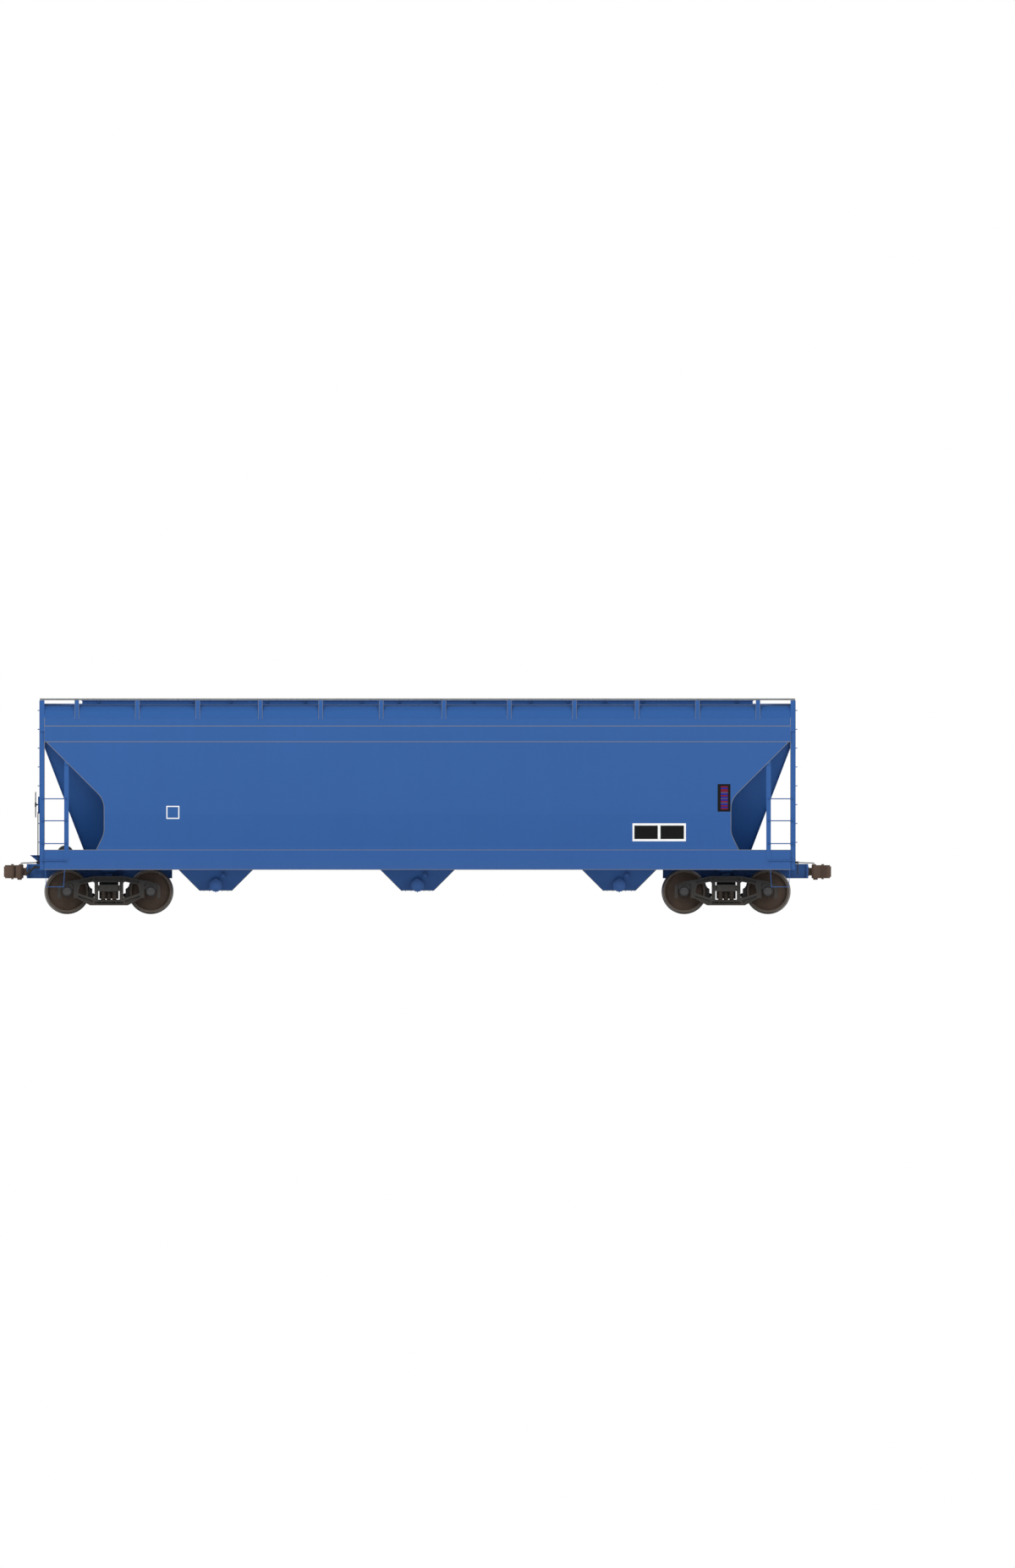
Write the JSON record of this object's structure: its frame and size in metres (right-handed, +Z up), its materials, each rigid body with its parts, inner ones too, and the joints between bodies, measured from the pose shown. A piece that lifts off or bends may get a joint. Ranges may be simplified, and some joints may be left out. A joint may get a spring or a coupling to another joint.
{
  "type": "covered hopper car",
  "caption": "Covered hopper rail car with sloped ends, trough hatches, bottom outlets, swivelling trucks and automatic couplers.",
  "frame": {"origin": "middle of the car's length and width, on the plane that the wheel flanges touch", "axes": "+X along the car towards the end without the hand brake, +Y across to the right, +Z up"},
  "size_m": [17.568, 3.2512, 4.5814],
  "materials": {
    "body_paint": "satin",
    "galvanised": "matt",
    "truck_black": "matt",
    "wheel_steel": "matt",
    "coupler_steel": "rough"
  },
  "bodies": {
    "carbody": {"board_brackets": "body_paint", "body_bolsters": "body_paint", "brake_gear": "truck_black", "brake_stand": "body_paint", "coupler_a": "coupler_steel", "coupler_b": "coupler_steel", "end_frame_a": "body_paint", "end_frame_b": "body_paint", "end_ladders": "body_paint", "end_sills": "body_paint", "hatch_coaming": "body_paint", "hoppers": "body_paint", "outlet_tubes": "body_paint", "partitions": "body_paint", "roof_sheet": "body_paint", "running_boards": "galvanised", "side_ladders": "body_paint", "side_sheet_left": "body_paint", "side_sheet_right": "body_paint", "side_sills": "body_paint", "sill_steps": "body_paint", "slope_sheets": "body_paint", "stub_sills": "body_paint", "train_line": "truck_black", "v_braces": "body_paint"},
    "truck_b": {"side_frames_b": "truck_black", "bearing_adapters_b": "truck_black", "truck_bolster_b": "truck_black", "spring_groups_b": "truck_black", "brake_beams_b": "truck_black"},
    "truck_a": {"side_frames_a": "truck_black", "bearing_adapters_a": "truck_black", "truck_bolster_a": "truck_black", "spring_groups_a": "truck_black", "brake_beams_a": "truck_black"},
    "wheelset_1": {"wheelset_1": "wheel_steel"},
    "hatch_cover_1": {"hatch_cover_1": "body_paint"},
    "wheelset_2": {"wheelset_2": "wheel_steel"},
    "hatch_cover_2": {"hatch_cover_2": "body_paint"},
    "wheelset_3": {"wheelset_3": "wheel_steel"},
    "hatch_cover_3": {"hatch_cover_3": "body_paint"},
    "wheelset_4": {"wheelset_4": "wheel_steel"},
    "hatch_cover_4": {"hatch_cover_4": "body_paint"},
    "outlet_cap_1_left": {"outlet_cap_1_left": "body_paint"},
    "outlet_cap_1_right": {"outlet_cap_1_right": "body_paint"},
    "outlet_cap_2_left": {"outlet_cap_2_left": "body_paint"},
    "outlet_cap_2_right": {"outlet_cap_2_right": "body_paint"},
    "outlet_cap_3_left": {"outlet_cap_3_left": "body_paint"},
    "outlet_cap_3_right": {"outlet_cap_3_right": "body_paint"},
    "knuckle_b": {"knuckle_b": "coupler_steel"},
    "knuckle_a": {"knuckle_a": "coupler_steel"},
    "brake_wheel": {"brake_wheel": "truck_black"}
  },
  "joints": [
    {"name": "truck_b_swivel", "type": "hinge", "parent": "carbody", "child": "truck_b", "pos_m": [-6.553, 0, 0.6796], "axis": [0, 0, 1], "range_deg": [-8, 8]},
    {"name": "truck_a_swivel", "type": "hinge", "parent": "carbody", "child": "truck_a", "pos_m": [6.553, 0, 0.6796], "axis": [0, 0, 1], "range_deg": [-8, 8]},
    {"name": "wheelset_1_roll", "type": "hinge", "parent": "truck_b", "child": "wheelset_1", "pos_m": [-7.442, 0, 0.4826], "axis": [0, 1, 0], "continuous": true},
    {"name": "wheelset_2_roll", "type": "hinge", "parent": "truck_b", "child": "wheelset_2", "pos_m": [-5.664, 0, 0.4826], "axis": [0, 1, 0], "continuous": true},
    {"name": "wheelset_3_roll", "type": "hinge", "parent": "truck_a", "child": "wheelset_3", "pos_m": [5.664, 0, 0.4826], "axis": [0, 1, 0], "continuous": true},
    {"name": "wheelset_4_roll", "type": "hinge", "parent": "truck_a", "child": "wheelset_4", "pos_m": [7.442, 0, 0.4826], "axis": [0, 1, 0], "continuous": true},
    {"name": "hatch_cover_1_hinge", "type": "hinge", "parent": "carbody", "child": "hatch_cover_1", "pos_m": [-5.37, 0.374, 4.5454], "axis": [-1, 0, 0], "range_deg": [0, 105]},
    {"name": "hatch_cover_2_hinge", "type": "hinge", "parent": "carbody", "child": "hatch_cover_2", "pos_m": [-1.79, 0.374, 4.5454], "axis": [-1, 0, 0], "range_deg": [0, 105]},
    {"name": "hatch_cover_3_hinge", "type": "hinge", "parent": "carbody", "child": "hatch_cover_3", "pos_m": [1.79, 0.374, 4.5454], "axis": [-1, 0, 0], "range_deg": [0, 105]},
    {"name": "hatch_cover_4_hinge", "type": "hinge", "parent": "carbody", "child": "hatch_cover_4", "pos_m": [5.37, 0.374, 4.5454], "axis": [-1, 0, 0], "range_deg": [0, 105]},
    {"name": "outlet_cap_1_left_hinge", "type": "hinge", "parent": "carbody", "child": "outlet_cap_1_left", "pos_m": [-4.284, -1.074, 0.7504], "axis": [-1, 0, 0], "range_deg": [0, 95]},
    {"name": "outlet_cap_1_right_hinge", "type": "hinge", "parent": "carbody", "child": "outlet_cap_1_right", "pos_m": [-4.284, 1.074, 0.7504], "axis": [1, 0, 0], "range_deg": [0, 95]},
    {"name": "outlet_cap_2_left_hinge", "type": "hinge", "parent": "carbody", "child": "outlet_cap_2_left", "pos_m": [0, -1.074, 0.7504], "axis": [-1, 0, 0], "range_deg": [0, 95]},
    {"name": "outlet_cap_2_right_hinge", "type": "hinge", "parent": "carbody", "child": "outlet_cap_2_right", "pos_m": [0, 1.074, 0.7504], "axis": [1, 0, 0], "range_deg": [0, 95]},
    {"name": "outlet_cap_3_left_hinge", "type": "hinge", "parent": "carbody", "child": "outlet_cap_3_left", "pos_m": [4.284, -1.074, 0.7504], "axis": [-1, 0, 0], "range_deg": [0, 95]},
    {"name": "outlet_cap_3_right_hinge", "type": "hinge", "parent": "carbody", "child": "outlet_cap_3_right", "pos_m": [4.284, 1.074, 0.7504], "axis": [1, 0, 0], "range_deg": [0, 95]},
    {"name": "knuckle_b_pivot", "type": "hinge", "parent": "carbody", "child": "knuckle_b", "pos_m": [-8.603, -0.108, 0.9014], "axis": [0, 0, 1], "range_deg": [0, 45]},
    {"name": "knuckle_a_pivot", "type": "hinge", "parent": "carbody", "child": "knuckle_a", "pos_m": [8.603, 0.108, 0.9014], "axis": [0, 0, 1], "range_deg": [0, 45]},
    {"name": "brake_wheel_turn", "type": "hinge", "parent": "carbody", "child": "brake_wheel", "pos_m": [-8.11, 0.9, 2.3254], "axis": [-1, 0, 0], "continuous": true}
  ]
}
